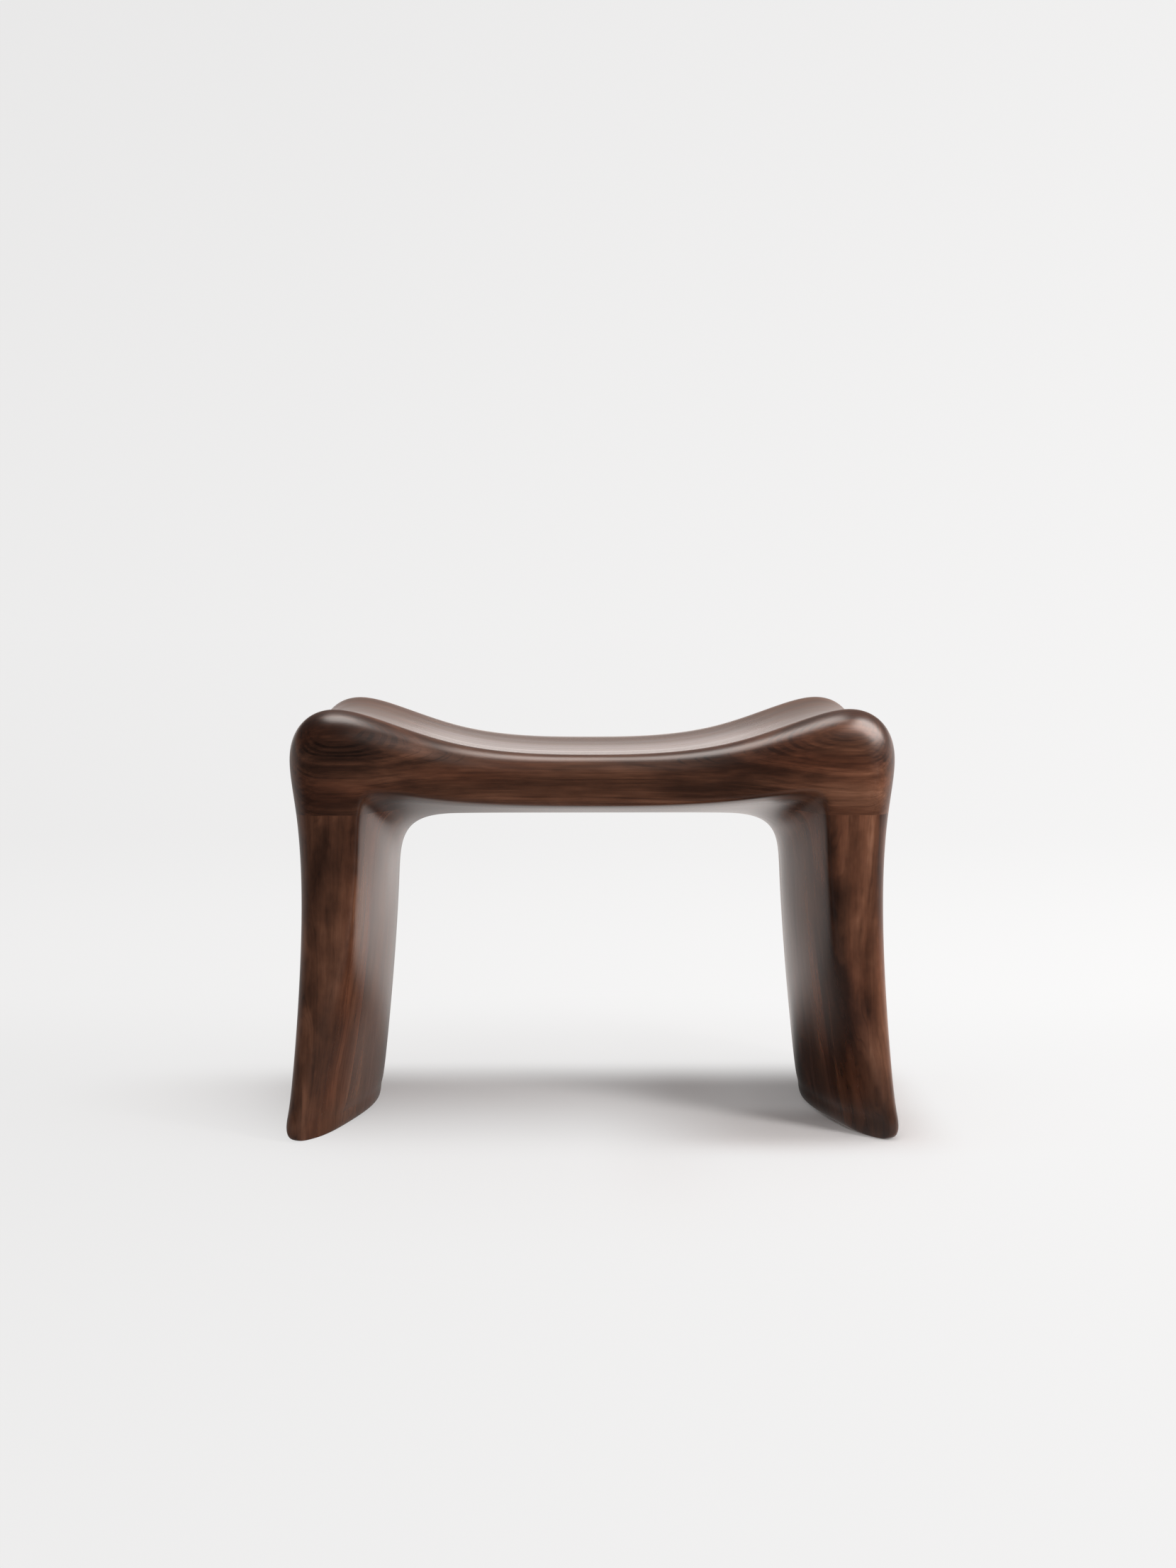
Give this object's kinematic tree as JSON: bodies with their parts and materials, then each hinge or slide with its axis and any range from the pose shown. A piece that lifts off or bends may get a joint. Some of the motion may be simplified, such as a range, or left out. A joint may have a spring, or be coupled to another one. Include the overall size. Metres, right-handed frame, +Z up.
{
  "type": "saddle stool",
  "caption": "Low saddle stool carved as one arch: a dished seat with a rounded knob at each corner, on slab legs that flare to the floor, for sitting on.",
  "frame": {"origin": "on the floor, under the middle of the seat", "axes": "+X along the seat from leg to leg, +Y from the front to the back, +Z up"},
  "size_m": [0.6248, 0.3818, 0.4377],
  "materials": {
    "seat_wood": "dark walnut, grain along the seat, oiled satin",
    "leg_wood": "dark walnut, upright grain, oiled satin",
    "tenon_wood": "plain hardwood, sawn, hidden in the joint"
  },
  "bodies": {
    "root": {"seat_stave_1": "seat_wood", "seat_stave_2": "seat_wood", "seat_stave_3": "seat_wood", "seat_stave_4": "seat_wood", "seat_stave_5": "seat_wood", "seat_stave_6": "seat_wood", "left_leg_stave_1": "leg_wood", "left_leg_stave_2": "leg_wood", "left_leg_stave_3": "leg_wood", "left_leg_stave_4": "leg_wood", "left_leg_stave_5": "leg_wood", "left_leg_stave_6": "leg_wood", "right_leg_stave_1": "leg_wood", "right_leg_stave_2": "leg_wood", "right_leg_stave_3": "leg_wood", "right_leg_stave_4": "leg_wood", "right_leg_stave_5": "leg_wood", "right_leg_stave_6": "leg_wood", "left_tenon_1": "tenon_wood", "left_tenon_2": "tenon_wood", "left_tenon_3": "tenon_wood", "left_tenon_4": "tenon_wood", "right_tenon_1": "tenon_wood", "right_tenon_2": "tenon_wood", "right_tenon_3": "tenon_wood", "right_tenon_4": "tenon_wood"}
  },
  "joints": []
}
